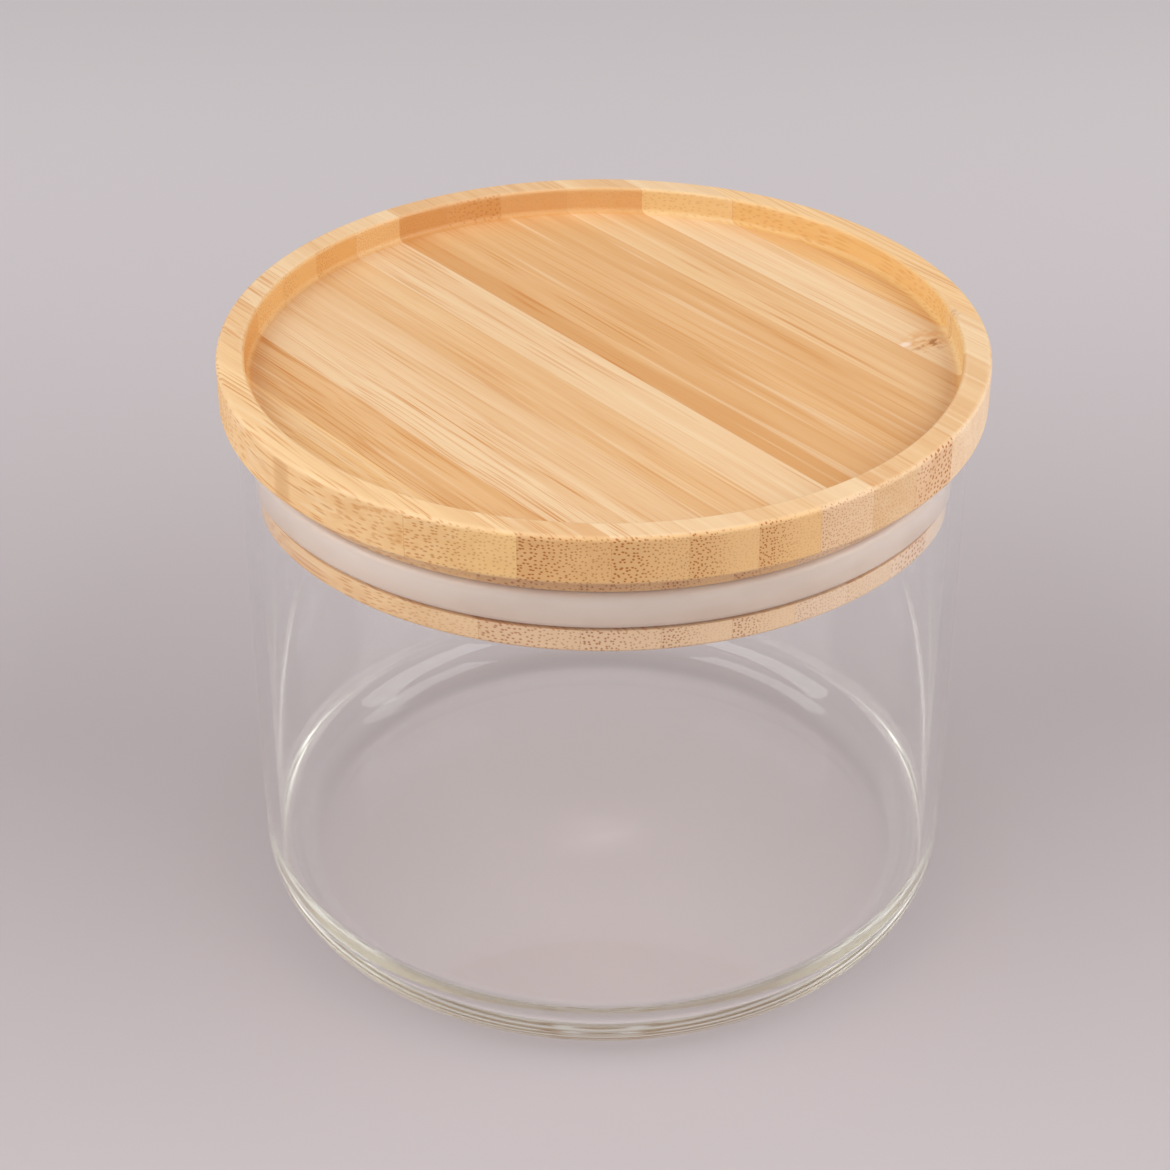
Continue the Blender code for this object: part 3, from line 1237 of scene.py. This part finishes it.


# The end tones and the oil and shade tints, set strip by strip, hold painted light as well as each strip's
# own tone: the strips on the right get paler, greyer end tones where more light falls, and those on the left
# more saturated ones.
STRIP_FINISHES = [
    BambooFinish(
        BoardTone.GOLDEN, EndTone.CREAM, (0.65, 0.50), (0.2, 0.4), 1.0, spacing=0.62 * MM, dash_strength=0.7,
        wander=4.0 * MM,
    ),
    BambooFinish(
        BoardTone.GOLDEN, EndTone.CREAM, (1.0, 0.35), (0.2, 0.7), 2.0, spacing=0.50 * MM, dash_strength=0.65,
        wander=3.6 * MM, streak_strength=0.6,
    ),
    BambooFinish(
        BoardTone.TAN, EndTone.GOLD, (1.0, 0.50), (0.15, 0.4), 3.0, spacing=0.47 * MM, dash_strength=0.5,
        streak_strength=0.8,
    ),
    BambooFinish(
        BoardTone.STRAW, EndTone.GOLD, (1.0, 0.45), (0.1, 1.0), 4.0, spacing=0.47 * MM, dash_strength=0.42,
        wander=3.2 * MM, streak_strength=0.8,
    ),
    BambooFinish(
        BoardTone.STRAW, EndTone.GOLD, (1.0, 0.10), (0.5, 1.0), 5.0, spacing=0.45 * MM, dash_strength=0.2
    ),
    BambooFinish(
        BoardTone.HONEY, EndTone.GOLD, (1.0, 0.15), (0.8, 0.4), 6.0, spacing=0.44 * MM, dash_strength=0.2
    ),
    BambooFinish(
        BoardTone.STRAW, EndTone.BLOND, (0.60, 0.40), (0.65, 0.2), 7.0, spacing=0.46 * MM, dash_strength=0.1
    ),
    BambooFinish(
        BoardTone.TAN, EndTone.SAND, (0.40, 0.25), (1.0, 0.1), 8.0, spacing=0.50 * MM, dash_strength=0.2,
        streak_strength=0.7, oil_and_shade_tint=(0.86, 0.70, 0.42),
    ),
    BambooFinish(
        BoardTone.TAN, EndTone.BLOND, (0.55, 1.0), (0.3, 0.5), 9.0, spacing=0.70 * MM, dash_strength=0.2,
        oil_and_shade_tint=(0.86, 0.70, 0.42),
    ),
    BambooFinish(
        BoardTone.TAN, EndTone.PEARL, (0.20, 0.10), (0.5, 0.2), 10.0, spacing=0.54 * MM, dash_strength=0.15
    ),
    BambooFinish(
        BoardTone.HONEY, EndTone.PEARL, (0.10, 0.25), (0.4, 1.0), 11.0, spacing=0.54 * MM, dash_strength=0.2,
        streak_strength=0.6,
    ),
    BambooFinish(
        BoardTone.STRAW, EndTone.BLOND, (0.5, 0.6), (0.0, 0.5), 12.0, spacing=0.56 * MM, dash_strength=0.15,
        oil_and_shade_tint=(0.95, 0.92, 0.68), joint=(34.0 * MM, -22.6 * MM),
    ),
    BambooFinish(
        BoardTone.GOLDEN, EndTone.BLOND, (0.7, 0.9), (0.6, 0.7), 13.0, spacing=0.58 * MM, dash_strength=0.3,
        oil_and_shade_tint=(0.94, 0.95, 0.73),
    ),
]


@dataclass
class Studio:
    """A pale floor, two large soft lamps and the camera of the photograph."""

    floor_size: float = 1.5
    floor_drop: float = 0.2 * MM
    floor_roughness: float = 0.8
    near_colour: Colour = (0.540, 0.484, 0.500)
    far_painted_light_colour: Colour = (0.690, 0.636, 0.649)
    near_edge: float = 50 * MM
    far_edge: float = 300 * MM
    backdrop_colour: Colour = (0.60, 0.56, 0.57)
    world_strength: float = 0.30
    lamps: tuple[tuple[str, float, float], ...] = (("lamp_left", -66.0, 39.0), ("lamp_right", 73.0, 39.0))
    lamp_distance: float = 0.8
    lamp_width: float = 0.75
    lamp_height: float = 0.72
    lamp_power: float = 4.8
    light_bounces: int = 48
    grain_turn: float = math.radians(38.6)
    pitch: float = math.radians(32.55)
    heading: float = math.radians(0.1)
    lens: float = 83.02
    sensor: float = 36.0
    clip_start: float = 10 * MM
    aside: float = -2.96 * MM
    back: float = 312.07 * MM
    above_lid: float = 160.97 * MM

    def build_floor(self) -> None:
        """Lays the floor that the jar stands on, with painted light that makes it paler behind the jar."""
        bpy.ops.mesh.primitive_plane_add(size=self.floor_size, location=(0.0, 0.0, -self.floor_drop))
        floor = bpy.context.object
        floor.name = "studio_floor"
        material, sheet, shader, position = start_material("floor_with_painted_light")
        away = (math.sin(self.grain_turn), math.cos(self.grain_turn), 0.0)
        # Painted light: fades the floor to a paler colour far behind the jar.
        far = sheet.fade(sheet.measure("DOT_PRODUCT", position, away), self.near_edge, self.far_edge)
        colour = sheet.mix(far, self.near_colour, self.far_painted_light_colour)
        sheet.fill(shader, {"Base Color": colour, "Roughness": self.floor_roughness})
        floor.data.materials.append(material)

    def light_room(self) -> None:
        """Lights the room evenly, and gives it the backdrop's colour where it is seen."""
        world = bpy.data.worlds.new("studio_room")
        world.use_nodes = True
        sheet = NodeSheet(world.node_tree)
        lit = world.node_tree.nodes["Background"]
        sheet.fill(lit, {"Color": (1.0, 1.0, 1.0), "Strength": self.world_strength})
        seen = sheet.add("ShaderNodeBackground", {"Color": self.backdrop_colour})
        path = sheet.add("ShaderNodeLightPath").outputs
        looks = sheet.math("MAXIMUM", path["Is Camera Ray"], path["Is Glossy Ray"])
        looks = sheet.math("MAXIMUM", looks, path["Is Transmission Ray"])
        room = sheet.add("ShaderNodeMixShader", (looks, lit.outputs[0], seen.outputs[0]))
        sheet.feed(world.node_tree.nodes["World Output"].inputs["Surface"], room.outputs[0])
        bpy.context.scene.world = world

    def hang_lamps(self) -> None:
        """Hangs the lamps, by their turns from the camera and their rises, facing the jar."""
        for name, turn, rise in self.lamps:
            lamp = bpy.data.lights.new(name, "AREA")
            lamp.shape = "RECTANGLE"
            lamp.size, lamp.size_y = self.lamp_width, self.lamp_height
            lamp.energy = self.lamp_power
            side, lift = math.radians(turn) - self.grain_turn, math.radians(rise)
            away = Vector((math.sin(side) * math.cos(lift), -math.cos(side) * math.cos(lift), math.sin(lift)))
            obj = stand(name, lamp)
            obj.location = away * self.lamp_distance
            obj.rotation_euler = (-away).to_track_quat("-Z", "Y").to_euler()

    def build_camera(self, lid_top: float) -> None:
        """Sets the camera where the photograph was taken from.

        Args:
            lid_top: The height of the lid's top.
        """
        right = Vector((math.cos(self.grain_turn), -math.sin(self.grain_turn), 0.0))
        away = Vector((math.sin(self.grain_turn), math.cos(self.grain_turn), 0.0))
        level = away * math.cos(self.heading) + right * math.sin(self.heading)
        look = level * math.cos(self.pitch) - Vector((0.0, 0.0, math.sin(self.pitch)))
        across = right * math.cos(self.heading) - away * math.sin(self.heading)
        up = across.cross(look)
        camera = bpy.data.cameras.new("photo_camera")
        camera.sensor_width = self.sensor
        camera.lens = self.lens
        camera.clip_start = self.clip_start
        obj = stand("photo_camera", camera)
        place = right * self.aside - away * self.back + Vector((0.0, 0.0, lid_top + self.above_lid))
        turn = Matrix((across, up, -look)).transposed()
        obj.matrix_world = Matrix.Translation(place) @ turn.to_4x4()
        bpy.context.scene.camera = obj

    def set_light_paths(self) -> None:
        """Keeps plain colours, and lets light through as many walls of glass as there are."""
        scene = bpy.context.scene
        scene.view_settings.view_transform = "Standard"
        scene.cycles.max_bounces = self.light_bounces
        scene.cycles.transmission_bounces = self.light_bounces
        scene.cycles.glossy_bounces = self.light_bounces


def glue_lines(count: int) -> list[float]:
    """Where the strips meet, from their CAD nodes: the left edge of each, and the last one's right edge."""
    boxes = [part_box(f"lid_strip_{index:02d}") for index in range(1, count + 1)]
    return [low.x for low, _ in boxes] + [boxes[-1][1].x]


def main() -> None:
    """Builds the jar, its sealing band, its lid and the studio, in that order."""
    effects = SurfaceEffects()
    lathe, saw = TurningLathe(), StripSaw()
    _, jar_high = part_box("glass_jar")
    jar = GlassJar(radius=jar_high.x, height=jar_high.z)
    report(jar.build(lathe, GlassFinish().material("clear_glass_fine", effects)))
    ring_low, ring_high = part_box("seal_ring")
    band = SealingBand(
        outer=ring_high.x, inner=ring_high.x - BAND_THICKNESS, bottom=ring_low.z, top=ring_high.z
    )
    silicone = SiliconeFinish().material("milky_silicone", band.bottom, band.top, effects)
    report(band.build(lathe, silicone))
    lines = glue_lines(len(STRIP_FINISHES))
    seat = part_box("lid_strip_01")[0].z
    plug_radius = jar.radius - jar.wall - PLUG_CLEARANCE
    lid = BambooLid(radius=lines[-1], plug_radius=plug_radius, seat=seat, lines=lines)
    for strip in lid.build(lathe, saw, STRIP_FINISHES, effects):
        report(strip)
    studio = Studio()
    studio.build_floor()
    studio.light_room()
    studio.hang_lamps()
    studio.build_camera(CAD_BOX[1].z)
    studio.set_light_paths()


def report(piece: Object) -> None:
    """Logs a finished piece."""
    LOG.info("%s: %d faces", piece.name, len(piece.data.polygons))


if __name__ == "__main__":
    logging.basicConfig(level=logging.INFO, format="%(message)s")
    main()
